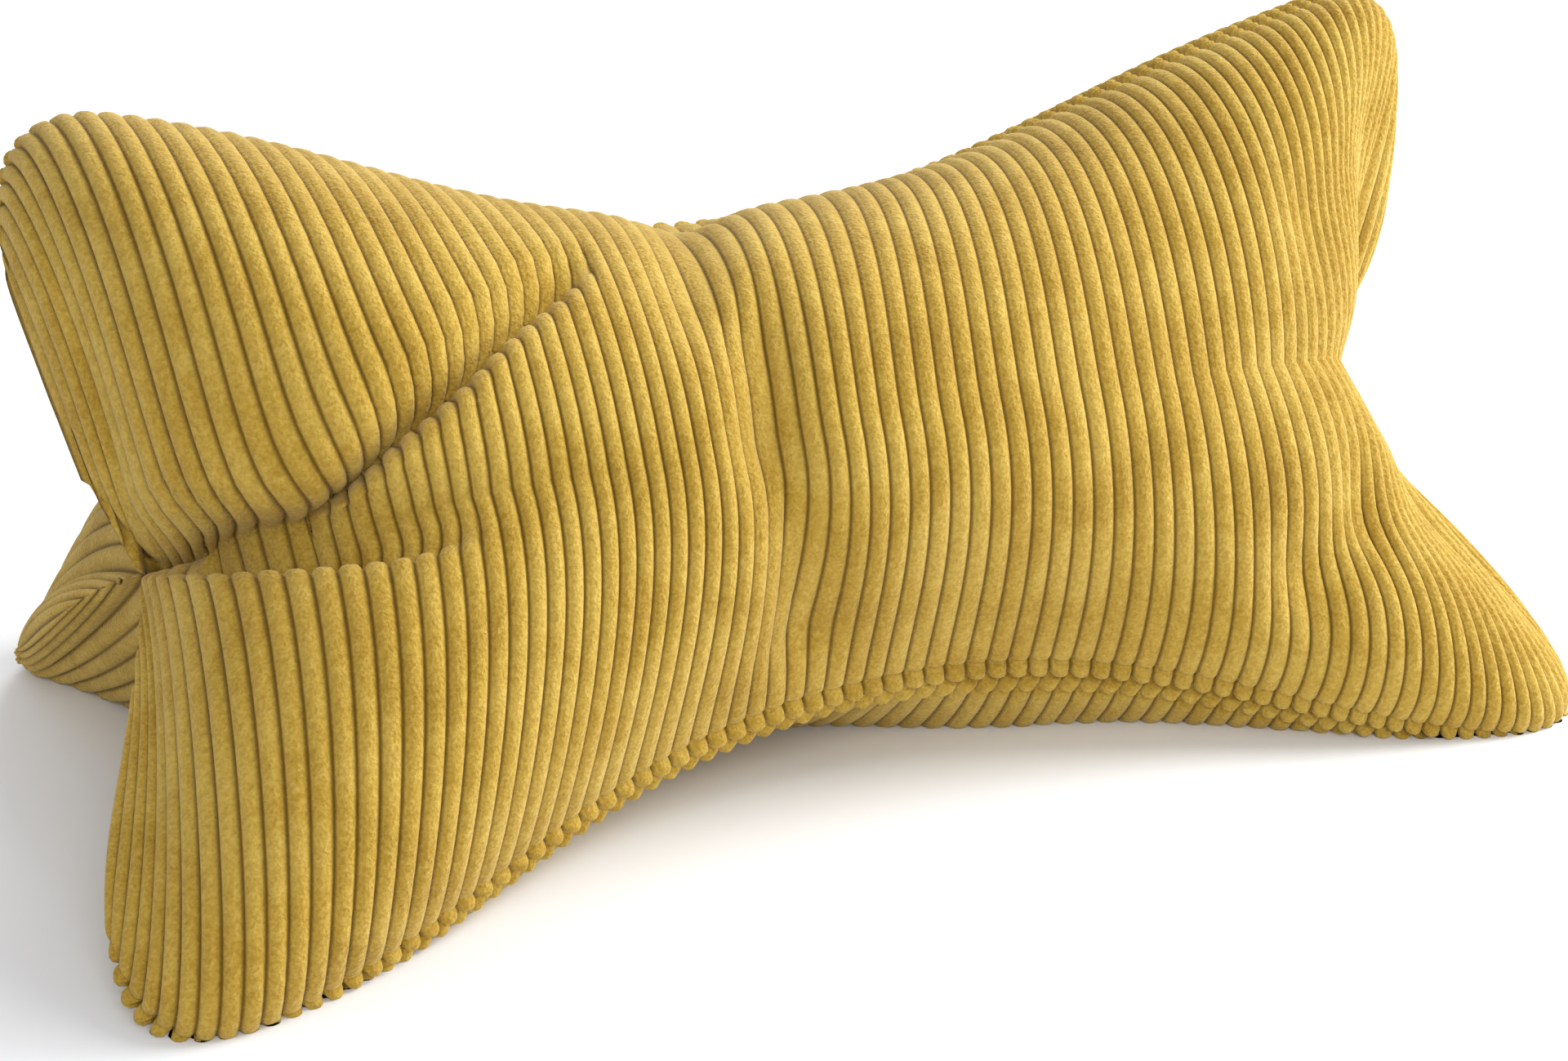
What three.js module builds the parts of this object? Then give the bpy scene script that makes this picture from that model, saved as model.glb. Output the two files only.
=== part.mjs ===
import * as THREE from 'three';

// Reading pillow: three bone-shaped corduroy panels sewn edge to edge round a soft filling.
// Millimetres, +Z up. X runs along the pillow and Y to its back. It rests on its two lower ears
// and on the middle of its underside.

// Cover, counted in ribs from the middle of a panel
const ribsToNotch = 39;
const ribsToTip = 43;
const ribsHeldBySlip = 36;
const ribHeight = 1.6;
const columnsPerRib = 2;
const rowsPerHalf = 5;

// Filled shape: distances along the long axis and out from it
const axisHeight = 66;
const shoulderAlong = 173;
const shoulderOut = 121;
const shoulderRise = 14;
const tipAlong = 204;
const tipOut = 87;
const earEndAlong = 197;
const earEndOut = 44;
const tipLean = 0.08;

// How far an ear's outline runs straight from each of its points, as shares of the stretch there
const flankPull = { waist: 0.45, shoulder: 0.35 };
const cornerPull = { shoulder: 0.58, tip: 0.4 };
const edgePull = 0.3;

// How the cloth leaves the middle of a panel and meets a seam: degrees, and shares of its width
const bellyRound = -30;
const earSeamRound = 106;
const bellyPull = 0.37;
const seamPull = 0.33;
const earThinning = 2.3;

// The ribs past a notch begin on this share of the ear's end, and the last one follows the rest
const earEndReach = 0.6;

// Each end: the distance to its notch, how full the panels stay before they dive to it, how the
// ribs spread along a seam and along the middle of a panel, how steeply a panel is creased at the
// notch, and where on the way there the crease starts
const ends = {
  left: {
    side: -1,
    notchAlong: 182,
    fullness: 2.7,
    seamSpread: 0.02,
    bellySpread: 0.15,
    notchCrease: 32,
    creaseStart: 0.25,
  },
  right: {
    side: 1,
    notchAlong: 179,
    fullness: 2.6,
    seamSpread: 0.03,
    bellySpread: -0.09,
    notchCrease: 12,
    creaseStart: 0.4,
  },
};

// Each seam: its turn round the axis, how far out it lies at the waist and how far it has turned
// there, how round the cloth meets it, and how many ribs it has slipped to the right. The top seam
// has rolled to the back at the waist and at the left.
const seams = {
  top: { turn: 90, waistOut: 73.5, waistTurned: -36, waistRound: 88, slip: 4.8 },
  front: { turn: 210, waistOut: 76.5, waistTurned: 3, waistRound: 67, slip: 0 },
  back: { turn: 330, waistOut: 77, waistTurned: 0, waistRound: 68, slip: 0 },
};

// Each ear against the even shape: longer, wider and scooped at its end in millimetres, turned in
// degrees
const ears = {
  top: {
    left: { longer: -4, wider: -4, scooped: -2, turned: -30 },
    right: { longer: 4, wider: -5, scooped: -16, turned: -7 },
  },
  front: {
    left: { longer: 5, wider: 5, scooped: 10, turned: 3 },
    right: { longer: 2, wider: 12, scooped: 8, turned: 1 },
  },
  back: {
    left: { longer: 3, wider: -4, scooped: -4, turned: -6 },
    right: { longer: 0, wider: 2, scooped: 0, turned: 0 },
  },
};

// The filling has settled to the right, so the underside is fuller there: from one rib to another,
// how much further its middle hangs out, and how many degrees fuller it is at its seams
const settled = { fromRib: -4, toRib: 9, hang: 16, round: 70 };

// Each panel: the seams at its lower and upper edges, and how far its middle stands out from the
// axis before the floor flattens it
const panels = {
  front: { lower: 'front', upper: 'top', bellyOut: 81 },
  rear: { lower: 'top', upper: 'back', bellyOut: 78 },
  under: { lower: 'back', upper: 'front', bellyOut: 75 },
};

// Two creases run in from the left notch of the front panel. Across is 0 in the middle of the
// panel, -1 at its lower seam and 1 at its upper one. Above and below are how far the cloth rounds
// over into the crease.
const creases = [
  {
    above: 0.2,
    below: 0.075,
    line: [
      { rib: -42, across: 0, depth: 0 },
      { rib: -39, across: 0, depth: 7 },
      { rib: -34, across: -0.07, depth: 11 },
      { rib: -30, across: -0.1, depth: 10 },
      { rib: -25, across: -0.1, depth: 6.5 },
      { rib: -20, across: -0.09, depth: 3 },
      { rib: -14, across: -0.07, depth: 0 },
    ],
  },
  {
    above: 0.11,
    below: 0.08,
    line: [
      { rib: -33, across: -0.12, depth: 0 },
      { rib: -30, across: -0.01, depth: 6 },
      { rib: -26, across: 0.113, depth: 9 },
      { rib: -20, across: 0.24, depth: 8 },
      { rib: -16, across: 0.33, depth: 6 },
      { rib: -12.5, across: 0.4, depth: 0 },
    ],
  },
];

// How the rows of points gather at a crease: more of them for each millimetre of its depth
const crowded = { rows: 0.6, half: 0.07 };

// Soft troughs and dimples: where each starts and ends, its half width in ribs and its depth
const troughs = [
  { panel: 'front', rib: -8, across: 0.66, toRib: -7.5, toAcross: 0.2, half: 2.6, depth: 8 },
  { panel: 'front', rib: -6.8, across: 0.15, toRib: -4.6, toAcross: -0.6, half: 1.9, depth: 6 },
  { panel: 'front', rib: 25, across: 0.36, toRib: 34, toAcross: 0.46, half: 2.2, depth: 3 },
  { panel: 'front', rib: 19, across: -0.56, toRib: 33, toAcross: -0.39, half: 2.4, depth: 5 },
  { panel: 'front', rib: 30, across: -0.13, toRib: 34, toAcross: -0.12, half: 3, depth: 4 },
  { panel: 'rear', rib: 37, across: 0, toRib: 17, toAcross: 0.2, half: 3, depth: 7 },
  { panel: 'rear', rib: -37, across: 0, toRib: -18, toAcross: -0.15, half: 3, depth: 6 },
  { panel: 'rear', rib: 4, across: -0.8, toRib: 5, toAcross: 0.5, half: 2, depth: 4 },
  { panel: 'under', rib: 36, across: 0, toRib: 20, toAcross: -0.15, half: 3, depth: 5 },
  { panel: 'under', rib: -36, across: 0, toRib: -21, toAcross: 0.15, half: 3, depth: 5 },
];
const ribsAcrossPanel = 14;
const pressFade = 6;
const panelHalfTurn = 60;

const radians = THREE.MathUtils.degToRad;
const smooth = THREE.MathUtils.smoothstep;
const mix = THREE.MathUtils.lerp;

function endAt(rib) {
  return rib < 0 ? ends.left : ends.right;
}

function earAt(seam, rib) {
  return rib < 0 ? ears[seam].left : ears[seam].right;
}

// The seam of one ear in the plane through the axis: out over the shoulder to the tip, and back
// down the ear's end to the notch
function drawEar(ear, end, waistOut) {
  const waist = new THREE.Vector2(0, waistOut);
  const shoulder = new THREE.Vector2(shoulderAlong + ear.longer, shoulderOut + ear.wider);
  const tip = new THREE.Vector2(tipAlong + ear.longer, tipOut + ear.wider);
  const earEnd = new THREE.Vector2(earEndAlong + ear.longer / 2 - ear.scooped, earEndOut);
  const notch = new THREE.Vector2(end.notchAlong, 0);
  const slope = radians(shoulderRise);
  const rise = new THREE.Vector2(Math.cos(slope), Math.sin(slope));
  const fall = new THREE.Vector2(-tipLean, -1).normalize();
  const flank = shoulder.distanceTo(waist);
  const corner = tip.distanceTo(shoulder);
  const edge = notch.distanceTo(tip);
  const outer = new THREE.CurvePath();
  outer.add(new THREE.CubicBezierCurve(
    waist,
    waist.clone().setX(flank * flankPull.waist),
    shoulder.clone().addScaledVector(rise, -flank * flankPull.shoulder),
    shoulder,
  ));
  outer.add(new THREE.CubicBezierCurve(
    shoulder,
    shoulder.clone().addScaledVector(rise, corner * cornerPull.shoulder),
    tip.clone().addScaledVector(fall, -corner * cornerPull.tip),
    tip,
  ));
  const inner = new THREE.CubicBezierCurve(
    notch,
    earEnd,
    tip.clone().addScaledVector(fall, edge * edgePull),
    tip,
  );
  return { outer, inner };
}

// The middle of a panel in its own plane through the axis: level at the waist, then down to the
// notch on a rounded quarter
class BellyLine extends THREE.Curve {
  constructor(end, bellyOut) {
    super();
    this.end = end;
    this.bellyOut = bellyOut;
  }

  getPoint(share, target = new THREE.Vector2()) {
    const turn = share * Math.PI / 2;
    const power = 2 / this.end.fullness;
    return target.set(
      this.end.notchAlong * Math.sin(turn) ** power,
      this.bellyOut * Math.abs(Math.cos(turn)) ** power,
    );
  }
}

const earLines = {};
for (const seam of Object.keys(seams)) {
  earLines[seam] = {
    left: drawEar(ears[seam].left, ends.left, seams[seam].waistOut),
    right: drawEar(ears[seam].right, ends.right, seams[seam].waistOut),
  };
}
const bellyLines = {};
for (const [name, panel] of Object.entries(panels)) {
  bellyLines[name] = {
    left: new BellyLine(ends.left, panel.bellyOut),
    right: new BellyLine(ends.right, panel.bellyOut),
  };
}

function earLineAt(seam, rib) {
  return rib < 0 ? earLines[seam].left : earLines[seam].right;
}

// Where a rib meets a seam: x along the axis, y out from it
function seamStation(seam, rib) {
  const slip = seams[seam].slip * Math.max(0, 1 - Math.abs(rib) / ribsHeldBySlip);
  const slipped = rib + slip;
  const end = endAt(slipped);
  const share = Math.min(Math.abs(slipped) / ribsToTip, 1);
  const spread = share + end.seamSpread * Math.sin(Math.PI * share);
  const station = earLineAt(seam, slipped).outer.getPoint(Math.min(spread, 1));
  return new THREE.Vector2(end.side * station.x, station.y);
}

// Where a rib crosses the middle of its panel
function bellyStation(panelName, rib) {
  const end = endAt(rib);
  const share = Math.min(Math.abs(rib) / ribsToNotch, 1);
  const spread = share - end.bellySpread * share * Math.sin(Math.PI * share);
  const line = rib < 0 ? bellyLines[panelName].left : bellyLines[panelName].right;
  const station = line.getPointAt(spread);
  return new THREE.Vector2(end.side * station.x, station.y);
}

function pastNotch(rib) {
  return THREE.MathUtils.clamp((Math.abs(rib) - ribsToNotch) / (ribsToTip - ribsToNotch), 0, 1);
}

// Past the notch a rib starts on the seam down the ear's end instead. The station, and the way on
// along that seam.
function earEndStation(seam, rib) {
  const share = earEndReach * pastNotch(rib);
  const line = earLineAt(seam, rib).inner;
  const side = new THREE.Vector2(endAt(rib).side, 1);
  return {
    station: line.getPointAt(share).multiply(side),
    ahead: line.getTangentAt(share).multiply(side),
  };
}

// A point on the smooth cover: a rib's run from the middle of its panel, or the ear's end, to a seam
function coverPoint(panelName, rib, across) {
  const panel = panels[panelName];
  const upper = across >= 0;
  const seam = upper ? panel.upper : panel.lower;
  const aside = upper ? 1 : -1;
  const end = endAt(rib);
  const past = pastNotch(rib);
  const settling = panelName === 'under' ? smooth(rib, settled.fromRib, settled.toRib) : 0;
  const outerStation = seamStation(seam, rib);
  const outer = new THREE.Vector3(outerStation.x, outerStation.y, 0);
  const towardEnd = smooth(Math.abs(outer.x) / end.notchAlong, 0, 1);
  const fuller = settled.round * settling * (1 - towardEnd);
  const outerTurn = radians(mix(seams[seam].waistRound, earSeamRound, towardEnd) + fuller);
  const thinning = Math.sqrt(Math.max(0, 1 - (Math.abs(rib) / ribsToTip) ** earThinning));
  const inner = new THREE.Vector3();
  const leave = new THREE.Vector3();
  const arrive = new THREE.Vector3(0, -Math.cos(outerTurn), Math.sin(outerTurn) * thinning);
  let follow = smooth(Math.abs(across), 0, 1);
  if (past > 0) {
    const { station, ahead } = earEndStation(seam, rib);
    inner.set(station.x, station.y, 0);
    const crease = radians(end.notchCrease);
    leave.set(0, Math.cos(crease), Math.sin(crease) * thinning);
    leave.lerp(new THREE.Vector3(ahead.x, ahead.y, thinning), past);
    const back = new THREE.Vector3(-tipLean * end.side, -1, Math.sin(outerTurn) * thinning);
    arrive.lerp(back, past ** 2);
    follow = mix(follow, 1, smooth(station.y, 0, earEndOut));
  } else {
    const station = bellyStation(panelName, rib);
    const out = station.y * (1 + settled.hang * settling / panel.bellyOut);
    const halfTurn = radians(panelHalfTurn);
    inner.set(station.x, out * Math.cos(halfTurn), out * Math.sin(halfTurn));
    const crease = smooth(Math.abs(station.x) / end.notchAlong, end.creaseStart, 1);
    const innerTurn = radians(mix(bellyRound, end.notchCrease, crease));
    leave.set(0, Math.cos(innerTurn), Math.sin(innerTurn) * (innerTurn > 0 ? thinning : 1));
  }
  const width = inner.distanceTo(outer);
  const run = new THREE.CubicBezierCurve3(
    inner,
    leave.multiplyScalar(width * bellyPull).add(inner),
    arrive.multiplyScalar(width * seamPull).add(outer),
    outer,
  ).getPoint(Math.abs(across));
  const turned = mix(seams[seam].waistTurned, earAt(seam, rib).turned, towardEnd);
  const turn = radians(seams[seam].turn + turned * follow);
  const out = run.y;
  const beside = run.z * aside;
  return new THREE.Vector3(
    run.x,
    out * Math.cos(turn) - beside * Math.sin(turn),
    out * Math.sin(turn) + beside * Math.cos(turn) + axisHeight,
  );
}

// Where a crease lies on a rib, and how deep it is there
function creaseAt(crease, rib) {
  const { line } = crease;
  const next = line.findIndex((stop) => stop.rib > rib);
  if (next < 1) {
    return { across: line[0].across, depth: 0 };
  }
  const share = (rib - line[next - 1].rib) / (line[next].rib - line[next - 1].rib);
  return {
    across: mix(line[next - 1].across, line[next].across, share),
    depth: mix(line[next - 1].depth, line[next].depth, share),
  };
}

// Both lips of a crease round over like a quarter of a circle and meet at its bottom
function creaseDepth(crease, rib, across) {
  const here = creaseAt(crease, rib);
  const aside = across - here.across;
  const away = Math.min(1, Math.abs(aside) / (aside > 0 ? crease.above : crease.below));
  return here.depth * (1 - Math.sqrt(1 - (1 - away) ** 2));
}

// How deep the creases and troughs press the cover in
function pressDepth(panelName, rib, across) {
  let depth = 0;
  for (const trough of troughs) {
    if (trough.panel !== panelName) {
      continue;
    }
    const runX = trough.toRib - trough.rib;
    const runY = (trough.toAcross - trough.across) * ribsAcrossPanel;
    const x = rib - trough.rib;
    const y = (across - trough.across) * ribsAcrossPanel;
    const share = THREE.MathUtils.clamp((x * runX + y * runY) / (runX ** 2 + runY ** 2), 0, 1);
    const away = Math.hypot(x - share * runX, y - share * runY) / trough.half;
    depth += trough.depth * Math.exp(-(away ** 2));
  }
  if (panelName === 'front') {
    const folds = creases.map((crease) => creaseDepth(crease, rib, across) ** 3);
    depth += Math.cbrt(folds.reduce((sum, fold) => sum + fold, 0));
  }
  return depth * Math.min(1, (1 - Math.abs(across)) * pressFade) * (1 - pastNotch(rib));
}

// How far each row lies from the middle of a panel: evenly, but closer together at the creases
function rowShares(panelName, aside, rib) {
  const steps = 200;
  const reached = [0];
  for (let step = 1; step <= steps; step += 1) {
    let crowding = 1;
    if (panelName === 'front') {
      for (const crease of creases) {
        const here = creaseAt(crease, rib);
        const away = (step / steps - aside * here.across) / crowded.half;
        crowding += crowded.rows * here.depth * Math.exp(-(away ** 2));
      }
    }
    reached.push(reached[step - 1] + crowding);
  }
  const shares = [0];
  for (let row = 1; row < rowsPerHalf; row += 1) {
    const wanted = reached[steps] * row / rowsPerHalf;
    const next = reached.findIndex((sum) => sum > wanted);
    const part = (wanted - reached[next - 1]) / (reached[next] - reached[next - 1]);
    shares.push((next - 1 + part) / steps);
  }
  return [...shares, 1];
}

// A point on the finished cover, with its rib raised and its creases pressed in
function finishedPoint(panelName, rib, across, raised) {
  const point = coverPoint(panelName, rib, across);
  const step = 0.04;
  const side = across < 0 ? -1 : 1;
  const insideAcross = THREE.MathUtils.clamp(Math.abs(across), step, 1 - step) * side;
  const ahead = coverPoint(panelName, rib + step, insideAcross);
  const behind = coverPoint(panelName, rib - step, insideAcross);
  const above = coverPoint(panelName, rib, insideAcross + step);
  const below = coverPoint(panelName, rib, insideAcross - step);
  const normal = ahead.sub(behind).cross(above.sub(below)).normalize();
  point.addScaledVector(normal, raised - pressDepth(panelName, rib, across));
  point.z = Math.max(0, point.z);
  return point;
}

// A point on a seam, pushed straight out where a rib ends
function seamPoint(seam, rib, raised) {
  const panelName = Object.keys(panels).find((name) => panels[name].upper === seam);
  const point = coverPoint(panelName, rib, 1);
  const out = new THREE.Vector3(0, point.y, point.z - axisHeight).normalize();
  point.addScaledVector(out, raised);
  point.z = Math.max(0, point.z);
  return point;
}

// The cover as one closed skin. Columns follow the ribs from tip to tip, with one on each rib and
// one in each groove, and rows cross them from a panel's middle to its two seams. Panels share the
// points of their seams, and past the notches they share the seams down the ears' ends too: the
// starts of the ribs there, and the whole of the last rib.
function buildPillow() {
  const lastColumn = ribsToTip * columnsPerRib;
  const notchColumn = ribsToNotch * columnsPerRib;
  const positions = [];
  const places = new Map();
  const shares = new Map();

  function place(name, makePoint) {
    if (!places.has(name)) {
      places.set(name, positions.length / 3);
      positions.push(...makePoint().toArray());
    }
    return places.get(name);
  }

  function corner(panelName, aside, column, row) {
    const rib = column / columnsPerRib;
    const reach = Math.abs(column);
    const end = rib < 0 ? 'left' : 'right';
    const seam = aside > 0 ? panels[panelName].upper : panels[panelName].lower;
    const onRib = reach % columnsPerRib === 1 ? 0 : -ribHeight;
    const panelAbove = Object.keys(panels).find((name) => panels[name].upper === seam);
    const columnName = `${panelName} ${aside} ${column}`;
    if (!shares.has(columnName)) {
      shares.set(columnName, rowShares(panelName, aside, rib));
    }
    const share = shares.get(columnName)[row];
    if (row === rowsPerHalf) {
      const raised = reach === lastColumn ? 0 : onRib;
      return place(`${seam} seam ${column}`, () => seamPoint(seam, rib, raised));
    }
    if (reach === lastColumn) {
      return place(`${seam} last ${column} ${row}`, () => coverPoint(panelAbove, rib, share));
    }
    if (row === 0 && reach === notchColumn) {
      return place(`${end} notch`, () => coverPoint(panelName, rib, 0));
    }
    if (row === 0 && reach > notchColumn) {
      return place(`${seam} end ${column}`, () => coverPoint(panelAbove, rib, 0));
    }
    if (row === 0) {
      return place(`${panelName} middle ${column}`, () => finishedPoint(panelName, rib, 0, onRib));
    }
    return place(
      `${columnName} ${row}`,
      () => finishedPoint(panelName, rib, aside * share, onRib),
    );
  }

  // Four corners in turn, split between the second and the fourth
  const faces = [];
  function addFour(a, b, c, d, aside) {
    if (aside > 0) {
      faces.push(a, b, d, b, c, d);
    } else {
      faces.push(a, d, b, b, d, c);
    }
  }

  for (const panelName of Object.keys(panels)) {
    for (const aside of [-1, 1]) {
      for (let column = -lastColumn; column < lastColumn; column += 1) {
        for (let row = 0; row < rowsPerHalf; row += 1) {
          const near = corner(panelName, aside, column, row);
          const along = corner(panelName, aside, column + 1, row);
          const far = corner(panelName, aside, column + 1, row + 1);
          const outward = corner(panelName, aside, column, row + 1);
          const atSeam = row === rowsPerHalf - 1;
          if (column < 0 === atSeam) {
            addFour(near, along, far, outward, aside);
          } else {
            addFour(outward, near, along, far, aside);
          }
        }
      }
    }
  }

  const geometry = new THREE.BufferGeometry();
  geometry.setAttribute('position', new THREE.Float32BufferAttribute(positions, 3));
  geometry.setIndex(faces);
  geometry.computeVertexNormals();
  return geometry;
}

// The middle of its box stands over the origin
const cover = buildPillow();
cover.computeBoundingBox();
const middle = cover.boundingBox.getCenter(new THREE.Vector3());
cover.translate(-middle.x, -middle.y, 0);

const corduroy = new THREE.MeshStandardMaterial({ color: 0xc9a02e, roughness: 0.95, metalness: 0 });
const pillow = new THREE.Mesh(cover, corduroy);
pillow.name = 'pillow';

const readingPillow = new THREE.Group();
readingPillow.add(pillow);

export default readingPillow;
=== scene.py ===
import math
from functools import partial

import bpy
import numpy as np
from mathutils import Matrix, Vector


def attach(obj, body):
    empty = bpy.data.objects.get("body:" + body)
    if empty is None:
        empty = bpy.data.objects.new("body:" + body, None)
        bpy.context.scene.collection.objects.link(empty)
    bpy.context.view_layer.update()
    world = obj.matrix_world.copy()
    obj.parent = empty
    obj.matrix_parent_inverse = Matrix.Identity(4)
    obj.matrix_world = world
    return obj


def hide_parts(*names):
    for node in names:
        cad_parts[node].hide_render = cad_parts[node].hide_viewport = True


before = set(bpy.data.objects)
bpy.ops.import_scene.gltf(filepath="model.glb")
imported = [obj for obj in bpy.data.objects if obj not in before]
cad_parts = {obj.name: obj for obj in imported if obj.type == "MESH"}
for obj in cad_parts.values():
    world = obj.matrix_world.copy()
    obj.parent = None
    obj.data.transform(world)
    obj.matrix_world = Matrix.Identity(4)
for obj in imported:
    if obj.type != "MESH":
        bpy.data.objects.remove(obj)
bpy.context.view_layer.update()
print("frame loaded")

mm = 0.001  # the shape below is in millimetres and degrees

# Cover, counted in ribs from the middle of a panel
cover = {
    "ribsToNotch": 39,
    "ribsToTip": 43,
    "ribsHeldBySlip": 36,
    "ribHeight": 1.7,
    "ribFlatness": 3.2,
    "columnsPerRib": 5,
    "rowsPerHalf": 38,
    "ribsAcrossPanel": 14,
    "pressFade": 6,
    "panelHalfTurn": 60,
    "earEndReach": 0.4,
    "troughFall": 1.8,
    "narrowestHalf": 0.5,
}

# How finely outlines are drawn and the cloth's slope is measured
fineness = {"earLine": 200, "bellyLine": 400, "rowSearch": 400, "endStep": 0.02, "slopeStep": 0.03,
            "pileSlopeStep": 0.006, "phaseReach": 2.5}

# Filled shape: distances along the long axis and out from it
shape = {
    "axisHeight": 66,
    "shoulderAlong": 173,
    "shoulderOut": 121,
    "shoulderRise": 14,
    "tipAlong": 204,
    "tipOut": 87,
    "earEndAlong": 197,
    "earEndOut": 44,
    "tipLean": 0.08,
    "flankPull": (0.45, 0.35),
    "cornerPull": (0.58, 0.4),
    "edgePull": 0.3,
    "bellyRound": -30,
    "earSeamRound": 106,
    "bellyPull": 0.37,
    "seamPull": 0.33,
    "earThinning": 2.3,
}

ends = {
    "left": {"side": -1, "notchAlong": 182, "fullness": 2.7, "seamSpread": 0.02, "bellySpread": 0.15,
             "notchCrease": 32, "creaseStart": 0.25},
    "right": {"side": 1, "notchAlong": 179, "fullness": 2.6, "seamSpread": 0.03, "bellySpread": -0.09,
              "notchCrease": 12, "creaseStart": 0.4},
}

seams = {
    "top": {"turn": 90, "waistOut": 73.5, "waistTurned": -36, "waistRound": 88, "slip": 4.8},
    "front": {"turn": 210, "waistOut": 76.5, "waistTurned": 3, "waistRound": 67, "slip": 0},
    "back": {"turn": 330, "waistOut": 77, "waistTurned": 0, "waistRound": 68, "slip": 0},
}

# Each ear against the even shape
ears = {
    ("top", "left"): {"longer": -4, "wider": -4, "scooped": -2, "turned": -30},
    ("top", "right"): {"longer": 4, "wider": -5, "scooped": -16, "turned": -7},
    ("front", "left"): {"longer": 5, "wider": 5, "scooped": 10, "turned": 3},
    ("front", "right"): {"longer": 2, "wider": 12, "scooped": 8, "turned": 1},
    ("back", "left"): {"longer": 3, "wider": -4, "scooped": -4, "turned": -6},
    ("back", "right"): {"longer": 0, "wider": 2, "scooped": 0, "turned": 0},
}

# The filling has settled to the right of the underside
settled = {"fromRib": -4, "toRib": 9, "hang": 22, "round": 42}

# phase: how many ribs each panel lies aside of the next one along their seam
panels = {
    "front": {"lower": "front", "upper": "top", "bellyOut": 81, "phase": 0},
    "rear": {"lower": "top", "upper": "back", "bellyOut": 78, "phase": 0.35},
    "under": {"lower": "back", "upper": "front", "bellyOut": 75, "phase": -0.4},
}

# Two creases run in from the left notch of the front panel. across: where each crease lies on
# the ribs; above and below: how far the cloth rounds over into it, as a share of half the panel;
# fall: how steadily it falls from above; lean: how far the bottom slides in under the lower lip,
# for each mm of depth; sway: how many ribs the cloth above is swept to the right at its edge, and
# swayReach: how far up that is most
creases = {
    "level": {
        "rib": (-42, -39, -36, -33, -30, -27, -25, -22.5),
        "across": (0.02, 0.03, 0.01, -0.03, -0.06, -0.08, -0.085, -0.08),
        "depth": (0, 9, 14, 15, 13, 8.5, 5, 0),
        "above": 0.15,
        "below": 0.06,
        "fall": 1.35,
        "lean": 0.5,
        "sway": 1.2,
        "swayReach": 0.07,
    },
    "slanting": {
        "rib": (-33, -31.5, -30, -28, -26, -22, -20, -16, -13.5),
        "across": (-0.03, -0.02, 0.03, 0.1, 0.16, 0.25, 0.305, 0.4, 0.455),
        "depth": (0, 9, 13, 14, 13, 11, 10, 8, 0),
        "above": 0.09,
        "below": 0.07,
        "fall": 1.6,
        "lean": 0.3,
        "sway": 0.6,
        "swayReach": 0.05,
    },
}

# How the rows of points gather in a crease: rows is how many more there are for each mm of depth,
# and half is how far aside of the crease they do so
crowded = {"rows": 0.7, "half": 0.045}

# Soft troughs and dimples: panel, start rib and across, end rib and across, half width, depth
troughs = (
    ("front", -7.4, 0.8, -9, 0.4, 2.2, 6),
    ("front", -6.4, 0.22, -6.6, 0, 2, 7),
    ("front", -6.6, 0, -4.7, -0.65, 2, 6),
    ("front", 24.5, 0.34, 35, 0.47, 2.4, 4.5),
    ("front", 20, -0.54, 24.5, -0.39, 2, 8),
    ("front", 24.5, -0.39, 33, -0.33, 2, 6.5),
    ("front", 30, -0.13, 34, -0.12, 3, 4),
    ("rear", 36, 0, 17, 0.2, 3, 6),
    ("rear", -35, 0, -18, -0.15, 3, 5),
    ("rear", 4, -0.8, 5, 0.5, 2, 4),
    ("under", 36, 0, 20, -0.15, 3, 5),
    ("under", -36, 0, -21, 0.15, 3, 5),
)

# Each seam has a row of rib ends on both of its sides, held down by a line of stitches. rows: how
# far from the seam, in mm, the rows of points beside it lie
seamBeads = {
    "length": 5.4,
    "swell": {"top": 0.9, "front": 2.0, "back": 1.4},
    "valley": 2.4,
    "valleyHalf": 0.9,
    "stitchDepth": 1.5,
    "stitchHalf": 0.8,
    "rows": (8.2, 7.1, 6.3, 5.6, 4.9, 3.8, 2.6, 1.4, 0.6, 0),
    "mostOfWidth": 0.5,
    "noRoom": 4,
    "roomy": 16,
}


def smooth(value, low, high):
    share = np.clip((value - low) / (high - low), 0, 1)
    return share * share * (3 - 2 * share)


def mix(a, b, share):
    return a + (b - a) * share


def bezier(a, b, c, d, t):
    t = np.asarray(t)[..., None]
    return (1 - t) ** 3 * a + 3 * (1 - t) ** 2 * t * b + 3 * (1 - t) * t ** 2 * c + t ** 3 * d


def alongLine(line, share):
    steps = np.linalg.norm(np.diff(line, axis=0), axis=1)
    reached = np.concatenate(([0], np.cumsum(steps)))
    reached /= reached[-1]
    return np.stack([np.interp(share, reached, line[:, k]) for k in (0, 1)], -1)


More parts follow.
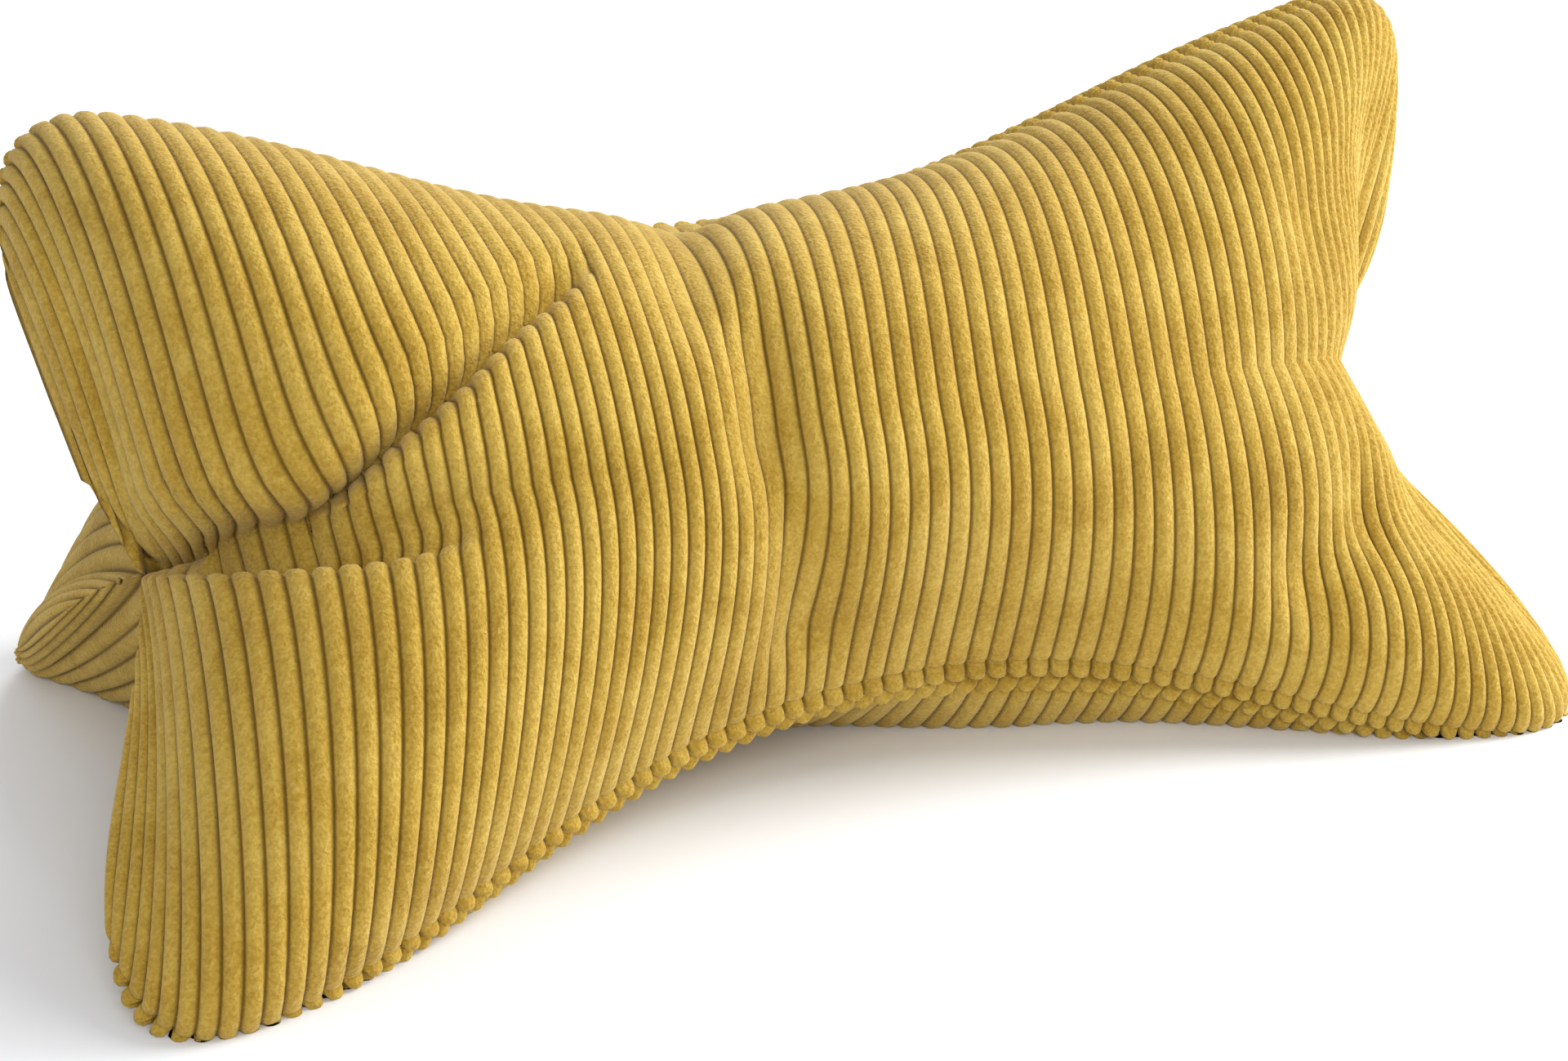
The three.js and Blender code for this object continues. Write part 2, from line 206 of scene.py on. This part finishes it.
def drawEar(seam, endName):
    ear, end = ears[seam, endName], ends[endName]
    waist = np.array([0, seams[seam]["waistOut"]])
    shoulder = np.array([shape["shoulderAlong"] + ear["longer"], shape["shoulderOut"] + ear["wider"]])
    tip = np.array([shape["tipAlong"] + ear["longer"], shape["tipOut"] + ear["wider"]])
    earEnd = np.array([shape["earEndAlong"] + ear["longer"] / 2 - ear["scooped"], shape["earEndOut"]])
    notch = np.array([end["notchAlong"], 0])
    slope = math.radians(shape["shoulderRise"])
    rise = np.array([math.cos(slope), math.sin(slope)])
    fall = np.array([-shape["tipLean"], -1]) / math.hypot(shape["tipLean"], 1)
    flank = np.linalg.norm(shoulder - waist)
    corner = np.linalg.norm(tip - shoulder)
    edge = np.linalg.norm(notch - tip)
    t = np.linspace(0, 1, fineness["earLine"])
    (waistPull, shoulderPull), (cornerOut, cornerIn) = shape["flankPull"], shape["cornerPull"]
    flankLine = bezier(waist, waist + (flank * waistPull, 0), shoulder - rise * flank * shoulderPull,
                       shoulder, t)
    cornerLine = bezier(shoulder, shoulder + rise * corner * cornerOut, tip - fall * corner * cornerIn,
                        tip, t)
    endLine = bezier(notch, earEnd, tip + fall * edge * shape["edgePull"], tip, t)
    return {"outer": np.vstack([flankLine, cornerLine[1:]]), "inner": endLine}


def drawBelly(endName, bellyOut):
    end = ends[endName]
    turn = np.linspace(0, math.pi / 2, fineness["bellyLine"])
    power = 2 / end["fullness"]
    return np.stack([end["notchAlong"] * np.sin(turn) ** power,
                     bellyOut * np.abs(np.cos(turn)) ** power], -1)


earLines = {key: drawEar(*key) for key in ears}
bellyLines = {(panelName, endName): drawBelly(endName, panel["bellyOut"])
              for panelName, panel in panels.items() for endName in ends}


def stations(rib, makePlace):
    # makePlace gives places along and out from the axis at one end
    along, out = np.zeros_like(rib), np.zeros_like(rib)
    for endName, end in ends.items():
        here = (rib < 0) == (end["side"] < 0)
        place = makePlace(endName, end, np.abs(rib[here]))
        along[here] = end["side"] * place[:, 0]
        out[here] = place[:, 1]
    return along, out


def seamStations(seam, rib):
    held = np.maximum(0, 1 - np.abs(rib) / cover["ribsHeldBySlip"])

    def place(endName, end, reach):
        share = np.minimum(reach / cover["ribsToTip"], 1)
        spread = np.minimum(share + end["seamSpread"] * np.sin(np.pi * share), 1)
        return alongLine(earLines[seam, endName]["outer"], spread)

    return stations(rib + seams[seam]["slip"] * held, place)


def bellyStations(panelName, rib):
    def place(endName, end, reach):
        share = np.minimum(reach / cover["ribsToNotch"], 1)
        spread = share - end["bellySpread"] * share * np.sin(np.pi * share)
        return alongLine(bellyLines[panelName, endName], spread)

    return stations(rib, place)


def earEndStations(seam, rib, further=0):
    # the ribs past the notch begin on the inner part of the ear's end, and the last one follows it
    def place(endName, end, reach):
        past = (reach - cover["ribsToNotch"]) / (cover["ribsToTip"] - cover["ribsToNotch"])
        share = cover["earEndReach"] * np.clip(past, 0, 1) + further
        return alongLine(earLines[seam, endName]["inner"], share)

    return stations(rib, place)


def coverPoints(panelName, aside, rib, share):
    # share is 0 in the middle of the panel, or on an ear's end, and 1 at the seam
    panel = panels[panelName]
    seam = panel["upper"] if aside > 0 else panel["lower"]
    notchAlong, notchCrease, creaseStart = (np.where(rib < 0, ends["left"][key], ends["right"][key])
                                            for key in ("notchAlong", "notchCrease", "creaseStart"))
    turned = np.where(rib < 0, ears[seam, "left"]["turned"], ears[seam, "right"]["turned"])
    past = np.clip((np.abs(rib) - cover["ribsToNotch"]) / (cover["ribsToTip"] - cover["ribsToNotch"]), 0, 1)
    settling = smooth(rib, settled["fromRib"], settled["toRib"]) if panelName == "under" else 0 * rib

    outerAlong, outerOut = seamStations(seam, rib)
    outer = np.stack([outerAlong, outerOut, np.zeros_like(rib)], -1)
    bellyAlong, bellyOut = bellyStations(panelName, rib)
    endAlong, endOut = earEndStations(seam, rib)
    aheadAlong, aheadOut = earEndStations(seam, rib, fineness["endStep"])
    ahead = np.stack([aheadAlong - endAlong, aheadOut - endOut, np.zeros_like(rib)], -1)
    ahead /= np.linalg.norm(ahead, axis=-1, keepdims=True)
    hang = 1 + settled["hang"] * settling / panel["bellyOut"]
    halfTurn = math.radians(cover["panelHalfTurn"])
    onEnd = past > 0
    inner = np.stack([
        np.where(onEnd, endAlong, bellyAlong),
        np.where(onEnd, endOut, bellyOut * hang * math.cos(halfTurn)),
        np.where(onEnd, 0, bellyOut * hang * math.sin(halfTurn)),
    ], -1)

    crease = smooth(np.abs(bellyAlong) / notchAlong, creaseStart, 1)
    innerTurn = np.radians(mix(shape["bellyRound"], notchCrease, crease))
    towardEnd = smooth(np.abs(outerAlong) / notchAlong, 0, 1)
    fuller = settled["round"] * settling * (1 - towardEnd)
    outerTurn = np.radians(mix(seams[seam]["waistRound"], shape["earSeamRound"], towardEnd) + fuller)
    thinning = np.sqrt(np.maximum(0, 1 - (np.abs(rib) / cover["ribsToTip"]) ** shape["earThinning"]))
    width = np.linalg.norm(inner - outer, axis=-1)
    innerBulge = np.sin(innerTurn) * np.where(innerTurn > 0, thinning, 1)
    zero = np.zeros_like(rib)
    leave = np.stack([zero, np.cos(innerTurn), innerBulge], -1)
    arrive = np.stack([zero, -np.cos(outerTurn), np.sin(outerTurn) * thinning], -1)
    back = np.stack([-shape["tipLean"] * np.sign(rib), zero - 1, np.sin(outerTurn) * thinning], -1)
    bulge = np.stack([zero, zero, thinning], -1)
    leave = mix(leave, ahead + bulge, past[..., None]) * (width * shape["bellyPull"])[..., None]
    arrive = mix(arrive, back, (past ** 2)[..., None]) * (width * shape["seamPull"])[..., None]
    run = bezier(inner, inner + leave, outer + arrive, outer, share)
    follow = mix(smooth(share, 0, 1), 1, onEnd * smooth(endOut, 0, shape["earEndOut"]))
    turn = np.radians(seams[seam]["turn"] + mix(seams[seam]["waistTurned"], turned, towardEnd) * follow)
    out, beside = run[..., 1], run[..., 2] * aside
    return np.stack([run[..., 0], out * np.cos(turn) - beside * np.sin(turn),
                     out * np.sin(turn) + beside * np.cos(turn) + shape["axisHeight"]], -1)


def pressDepth(panelName, rib, across):
    depth = np.zeros_like(rib)
    for name, fromRib, fromAcross, toRib, toAcross, half, deep in troughs:
        if name != panelName:
            continue
        runX, runY = toRib - fromRib, (toAcross - fromAcross) * cover["ribsAcrossPanel"]
        x, y = rib - fromRib, (across - fromAcross) * cover["ribsAcrossPanel"]
        share = np.clip((x * runX + y * runY) / (runX ** 2 + runY ** 2), 0, 1)
        away = np.hypot(x - share * runX, y - share * runY) / half
        depth += (deep * np.exp(-away ** cover["troughFall"])) ** 2
    return np.sqrt(depth)


def creasePress(rib, across):
    # how deep the creases are, and how far their bottoms slide down
    depths, slides = 0, 0
    for crease in creases.values():
        aside = across - np.interp(rib, crease["rib"], crease["across"])
        away = np.clip(np.abs(aside) / np.where(aside > 0, crease["above"], crease["below"]), 0, 1)
        lip = 1 - np.sqrt(1 - (1 - away) ** 2)
        deep = np.interp(rib, crease["rib"], crease["depth"])
        deep = deep * np.where(aside > 0, (1 - away) ** crease["fall"], lip)
        depths += deep ** 3
        slides += (deep * crease["lean"]) ** 3
    return depths ** (1 / 3), slides ** (1 / 3)


def ribSway(rib, across):
    # the ribs above a crease bend to the right before they roll over into it
    sway = 0
    for crease in creases.values():
        aside = across - np.interp(rib, crease["rib"], crease["across"])
        away = np.maximum(aside, 0) / crease["swayReach"]
        deep = np.interp(rib, crease["rib"], crease["depth"]) / max(crease["depth"])
        sway += crease["sway"] * deep * away * np.exp(1 - away)
    return sway


def pressedPoints(panelName, aside, rib, share):
    across = aside * share
    front = panelName == "front"
    past = (np.abs(rib) - cover["ribsToNotch"]) / (cover["ribsToTip"] - cover["ribsToNotch"])
    fade = np.minimum(1, (1 - share) * cover["pressFade"]) * np.clip(1 - past, 0, 1)
    swept = rib + ribSway(rib, across) * fade if front else rib
    point = coverPoints(panelName, aside, swept, share)
    normal, upward = surfaceFrame(partial(coverPoints, panelName, aside), swept, share, aside)
    depth = pressDepth(panelName, rib, across) * fade
    if front:
        folded, slid = creasePress(rib, across)
        depth += folded * fade
        point = point - upward * (slid * fade)[..., None]
    return point - normal * depth[..., None]


def surfaceFrame(surface, rib, share, aside, step=fineness["slopeStep"]):
    # the way out of the cloth, and the way along a rib toward the panel's upper seam
    inside = np.clip(share, step, 1 - step)
    reach = np.clip(rib, -cover["ribsToTip"] + 2 * step, cover["ribsToTip"] - 2 * step)
    alongRib = surface(reach + step, inside) - surface(reach - step, inside)
    acrossRib = (surface(reach, inside + step) - surface(reach, inside - step)) * aside
    normal = np.cross(alongRib, acrossRib)
    return [way / np.maximum(np.linalg.norm(way, axis=-1, keepdims=True), 1e-9)
            for way in (normal, acrossRib)]


def columnRibs():
    perRib, tip = cover["columnsPerRib"], cover["ribsToTip"]
    return np.arange(-tip * perRib, tip * perRib + 1) / perRib


def mmByShare(width):
    # at its end a Bezier runs on by three of its pulls for each whole share
    return 3 * shape["seamPull"] * width[:, None]


def rowShares(panelName, aside, rib, width):
    # rows stand close together by the seam and in the creases
    beadRows = np.array(seamBeads["rows"])
    nearSeam = beadRows[None, :] / mmByShare(width)
    nearSeam *= np.minimum(1, seamBeads["mostOfWidth"] / nearSeam[:, :1])
    others = cover["rowsPerHalf"] + 1 - len(beadRows)
    even = np.linspace(0, 1, others + 1)[:-1]
    fine = np.linspace(0, 1, fineness["rowSearch"])
    inner = np.empty((len(rib), others))
    for column in range(len(rib)):
        crowding = np.ones_like(fine)
        if panelName == "front":
            for crease in creases.values():
                line = aside * np.interp(rib[column], crease["rib"], crease["across"])
                deep = np.interp(rib[column], crease["rib"], crease["depth"])
                crowding += crowded["rows"] * deep * np.exp(-((fine - line) / crowded["half"]) ** 2)
        reached = np.cumsum(crowding) - crowding[0]
        inner[column] = np.interp(even, reached / reached[-1], fine)
    return np.hstack([inner * (1 - nearSeam[:, :1]), 1 - nearSeam])


def halfPanel(panelName, aside):
    rib = columnRibs()
    fullRun = coverPoints(panelName, aside, np.stack([rib, rib], -1), np.stack([0 * rib, 0 * rib + 1], -1))
    width = np.maximum(np.linalg.norm(fullRun[:, 0] - fullRun[:, 1], axis=-1),
                       cover["narrowestHalf"])
    share = rowShares(panelName, aside, rib, width)
    ribs = np.repeat(rib[:, None], share.shape[1], axis=1)
    fromSeam = (1 - share) * mmByShare(width)
    return ribs, share, fromSeam, width


def coverHeight(seam, rib, fromSeam, width):
    # how high the pile stands: 0 on a rib's crown, and down in the grooves and stitch lines
    place = rib - np.floor(rib)
    crown = 1 - np.abs(2 * place - 1) ** cover["ribFlatness"]
    height = cover["ribHeight"] * (crown - 1)
    room = smooth(width, seamBeads["noRoom"], seamBeads["roomy"])[:, None]
    room = room * (1 - smooth(np.abs(rib), cover["ribsToNotch"], cover["ribsToTip"]))
    inBead = np.clip(fromSeam / seamBeads["length"], 0, 1)
    swell = seamBeads["swell"][seam] * np.sin(np.pi * inBead) ** 0.8 * crown
    fromStitch = (fromSeam - seamBeads["length"]) / seamBeads["stitchHalf"]
    stitch = seamBeads["stitchDepth"] * np.exp(-fromStitch ** 2)
    valley = seamBeads["valley"] * np.exp(-(fromSeam / seamBeads["valleyHalf"]) ** 2)
    return height + room * (swell - stitch - valley), crown


def buildCover():
    notch = cover["ribsToNotch"]
    columns = columnRibs()
    last = len(columns) - 1
    rows = cover["rowsPerHalf"] + 1
    places = {}

    def index(name):
        return places.setdefault(name, len(places))

    grids, made = [], {}
    for panelName, panel in panels.items():
        for aside in (-1, 1):
            rib, share, fromSeam, width = halfPanel(panelName, aside)
            held = 1 - np.minimum(1, np.abs(rib) / notch) ** 4
            shifted = rib + panel["phase"] * held * smooth(fromSeam, 0, fineness["phaseReach"])
            pressed = partial(pressedPoints, panelName, aside)
            point = pressed(shifted, share)
            normal = surfaceFrame(pressed, shifted, share, aside, fineness["pileSlopeStep"])[0]
            seam = panel["upper"] if aside > 0 else panel["lower"]
            height, crown = coverHeight(seam, rib, fromSeam, width)
            point = point + normal * height[..., None]
            names = np.empty((len(columns), rows), dtype=np.int64)
            for column, here in enumerate(columns):
                endName = "left" if here < 0 else "right"
                for row in range(rows):
                    if row == rows - 1:
                        name = (seam, "seam", column)
                    elif row == 0 and abs(here) == notch:
                        name = (endName, "notch")
                    elif row == 0 and abs(here) > notch:
                        name = (seam, "end", column)
                    elif column in (0, last):
                        name = (seam, "last rib", column, row)
                    elif row == 0:
                        name = (panelName, "middle", column)
                    else:
                        name = (panelName, aside, column, row)
                    names[column, row] = index(name)
            grids.append((aside, names))
            made[panelName, aside] = (names, point, crown)
    total = len(places)
    positions, shade, count = np.zeros((total, 3)), np.zeros(total), np.zeros(total)
    for names, point, crown in made.values():
        flat = names.ravel()
        np.add.at(positions, flat, point.reshape(-1, 3))
        np.add.at(shade, flat, crown.ravel())
        np.add.at(count, flat, 1)
    positions /= count[:, None]
    shade /= count
    positions[:, 2] = np.maximum(positions[:, 2], 0)
    middle = (positions.max(0) + positions.min(0)) / 2
    positions[:, :2] -= middle[:2]

    # panels share the corners of their last ribs, so each quad there starts where its diagonal
    # won't run along the next panel's
    faces = []
    for aside, names in grids:
        quads = np.stack([names[:-1, :-1], names[1:, :-1], names[1:, 1:], names[:-1, 1:]], -1)
        quads[-1, :-1] = np.roll(quads[-1, :-1], -1, axis=-1)
        quads[0, -1] = np.roll(quads[0, -1], -1, axis=-1)
        quads = quads.reshape(-1, 4)
        faces.append(quads if aside > 0 else quads[:, [0, 3, 2, 1]])
    return positions * mm, np.vstack(faces), shade, middle


def addMesh(name, points, quads):
    corners = []
    for quad in quads.tolist():
        corner = [quad[k] for k in range(4) if quad[k] != quad[k - 1]]
        if len(set(corner)) > 2:
            corners.append(corner)
    mesh = bpy.data.meshes.new(name)
    mesh.from_pydata(points.tolist(), [], corners)
    mesh.update()
    mesh.shade_smooth()
    made = bpy.data.objects.new(name, mesh)
    bpy.context.scene.collection.objects.link(made)
    return made


class Wire:
    # a shader socket that takes part in plain sums
    def __init__(self, shade, socket):
        self.shade, self.socket = shade, socket

    def sum(self, operation, *values):
        return self.shade.node("Math", {"operation": operation}, dict(enumerate(values)))

    def __add__(self, other):
        return self.sum("ADD", self, other)

    def __sub__(self, other):
        return self.sum("SUBTRACT", self, other)

    def __rsub__(self, other):
        return self.sum("SUBTRACT", other, self)

    def __mul__(self, other):
        return self.sum("MULTIPLY", self, other)

    __radd__ = __add__
    __rmul__ = __mul__


class Shade:
    def __init__(self, name):
        self.material = bpy.data.materials.new(name)
        self.material.use_nodes = True
        self.tree = self.material.node_tree
        self.tree.nodes.clear()

    def node(self, kind, settings=None, sockets=None, output=0):
        made = self.tree.nodes.new("ShaderNode" + kind)
        for key, value in (settings or {}).items():
            setattr(made, key, value)
        for key, value in (sockets or {}).items():
            if isinstance(value, Wire):
                self.tree.links.new(value.socket, made.inputs[key])
            else:
                made.inputs[key].default_value = value
        return Wire(self, made.outputs[output]) if made.outputs else made

    def spread(self, value, fromValue, toValue, settings=None):
        # 0 at fromValue and 1 at toValue
        sockets = {"Value": value, "From Min": fromValue, "From Max": toValue, "To Min": 0.0, "To Max": 1.0}
        return self.node("MapRange", settings, sockets)

    def mixColours(self, factor, a, b):
        # sockets 0, 6, 7 and output 2 are a Mix node's factor and colours
        settings = {"data_type": "RGBA", "blend_type": "MIX", "clamp_factor": True}
        return self.node("Mix", settings, {0: factor, 6: a, 7: b}, 2)

    def finish(self, surface):
        self.node("OutputMaterial", None, {"Surface": surface})
        return self.material


# Colours are linear
corduroy = {
    "body": (0.47, 0.292, 0.036, 1),
    "brushed": (0.64, 0.455, 0.10, 1),
    "deep": (0.30, 0.165, 0.012, 1),
    # the groove colour is the bare woven ground between the ribs, darkened further as painted shade in the
    # grooves
    "groove": (0.12, 0.058, 0.003, 1),
    "grain": 1150,
    "tuft": 520,
    "brushScale": 42,
    "roughness": 0.9,
    "sheen": 0.35,
    "sheenTint": (1.0, 0.86, 0.55, 1),
    "bump": 1.0,
    "bumpDistance": 0.0011,
    "grainShare": 0.6,
    "brushedFrom": (0.42, 0.66),
    "brushedShare": 0.55,
    "wornFrom": (0.5, 0.3),
    "wornShare": 0.45,
    "speckledFrom": (0.35, 0.65),
    "speckledShare": 0.45,
    "grooveFrom": (0.62, 0.0),
    "grooveShare": 0.85,
}


def makeCorduroy():
    shade = Shade("corduroy")
    crown = shade.node("Attribute", {"attribute_name": "pile"}, None, 2)
    place = shade.node("TexCoord", None, None, 3)
    grain = shade.node("TexNoise", None, {"Vector": place, "Scale": corduroy["grain"], "Detail": 3.0})
    tuft = shade.node("TexNoise", None, {"Vector": place, "Scale": corduroy["tuft"], "Detail": 2.0})
    brush = shade.node("TexNoise", None, {"Vector": place, "Scale": corduroy["brushScale"], "Detail": 3.0,
                                          "Roughness": 0.55, "Distortion": 0.4})
    softly = {"interpolation_type": "SMOOTHSTEP"}
    brushed = shade.spread(brush, *corduroy["brushedFrom"], softly)
    worn = shade.spread(brush, *corduroy["wornFrom"], softly)
    # painted shade: the colour darkens toward each rib's groove, partly the woven ground's own colour and
    # partly shade painted in
    inGrooveGroundAndShade = shade.spread(crown, *corduroy["grooveFrom"], softly)
    pile = grain * corduroy["grainShare"] + tuft * (1 - corduroy["grainShare"])
    speckle = shade.spread(pile, *corduroy["speckledFrom"])
    colour = shade.mixColours(brushed * corduroy["brushedShare"], corduroy["body"], corduroy["brushed"])
    colour = shade.mixColours(worn * corduroy["wornShare"], colour, corduroy["deep"])
    colour = shade.mixColours(speckle * corduroy["speckledShare"], colour, corduroy["brushed"])
    colour = shade.mixColours((1 - speckle) * corduroy["speckledShare"], colour, corduroy["deep"])
    colour = shade.mixColours(inGrooveGroundAndShade * corduroy["grooveShare"], colour, corduroy["groove"])
    bump = shade.node("Bump", None, {"Strength": corduroy["bump"], "Distance": corduroy["bumpDistance"],
                                     "Height": pile})
    surface = shade.node("BsdfPrincipled", None, {
        "Base Color": colour, "Roughness": corduroy["roughness"], "Specular IOR Level": 0.15,
        "Sheen Weight": corduroy["sheen"], "Sheen Roughness": 0.45, "Sheen Tint": corduroy["sheenTint"],
        "Normal": bump})
    return shade.finish(surface)


points, quads, pileShade, middle = buildCover()
pillowCover = addMesh("pillow_cover", points, quads)
attribute = pillowCover.data.attributes.new("pile", "FLOAT", "POINT")
attribute.data.foreach_set("value", pileShade.astype(np.float32))
pillowCover.data.materials.append(makeCorduroy())
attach(pillowCover, "root")
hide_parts("pillow")
triangles = sum(len(face.vertices) - 2 for face in pillowCover.data.polygons)
print("cover built,", triangles, "triangles")

# Studio: a plain pale floor under soft light from above and from the right
studio = {
    "floorColour": (0.89, 0.905, 0.935, 1),
    "floorSize": 6.0,
    "world": 0.57,
}
lights = (
    {"name": "key", "at": (1.2, -0.2, 1.2), "size": 0.8, "power": 18},
    {"name": "low", "at": (1.3, -0.3, 0.45), "size": 0.6, "power": 13},
    {"name": "front", "at": (-0.3, -1.6, 1.2), "size": 1.2, "power": 12},
    {"name": "behind", "at": (0.7, 1.0, 1.2), "size": 0.8, "power": 10.5},
)


def addStudio():
    half = studio["floorSize"] / 2
    floor = addMesh("studio_floor", np.array([(-half, -half, 0), (half, -half, 0), (half, half, 0),
                                              (-half, half, 0)]), np.array([[0, 1, 2, 3]]))
    shade = Shade("pale_floor")
    surface = shade.node("BsdfPrincipled", None, {"Base Color": studio["floorColour"], "Roughness": 0.9,
                                                  "Specular IOR Level": 0.1})
    floor.data.materials.append(shade.finish(surface))
    world = bpy.data.worlds.new("studio")
    world.use_nodes = True
    background = world.node_tree.nodes["Background"]
    background.inputs["Color"].default_value = (1, 1, 1, 1)
    background.inputs["Strength"].default_value = studio["world"]
    bpy.context.scene.world = world
    aim = Vector((0, 0, shape["axisHeight"] * mm))
    for light in lights:
        lamp = bpy.data.lights.new(light["name"], "AREA")
        lamp.shape = "DISK"
        lamp.size = light["size"]
        lamp.energy = light["power"]
        lampObject = bpy.data.objects.new(light["name"], lamp)
        lampObject.location = light["at"]
        lampObject.rotation_euler = (aim - Vector(light["at"])).to_track_quat("-Z", "Y").to_euler()
        bpy.context.scene.collection.objects.link(lampObject)
    bpy.context.scene.view_settings.view_transform = "Standard"


addStudio()
print("studio lit")

# Camera, at the photograph's angle
view = {
    "azimuth": 25.245,
    "elevation": 25.211,
    "roll": 1.056,
    "distance": 674.6,
    "aimAlong": -0.27,
    "aimHeight": 45.5,
    "sensor": 36.0,
    "lens": 53.78,
}


def addCamera():
    azimuth, elevation, roll = (math.radians(view[key]) for key in ("azimuth", "elevation", "roll"))
    ahead = Vector((math.sin(azimuth) * math.cos(elevation), math.cos(azimuth) * math.cos(elevation),
                    -math.sin(elevation)))
    level = Vector((math.cos(azimuth), -math.sin(azimuth), 0))
    upright = level.cross(ahead)
    right = level * math.cos(roll) + upright * math.sin(roll)
    up = upright * math.cos(roll) - level * math.sin(roll)
    camera = bpy.data.cameras.new("photo_view")
    camera.sensor_width = view["sensor"]
    camera.lens = view["lens"]
    cameraObject = bpy.data.objects.new("photo_view", camera)
    aim = Vector((view["aimAlong"] - middle[0], -middle[1], view["aimHeight"])) * mm
    turn = Matrix((right, up, -ahead)).transposed().to_4x4()
    cameraObject.matrix_world = Matrix.Translation(aim - ahead * view["distance"] * mm) @ turn
    bpy.context.scene.collection.objects.link(cameraObject)
    bpy.context.scene.camera = cameraObject


addCamera()
print("camera placed")
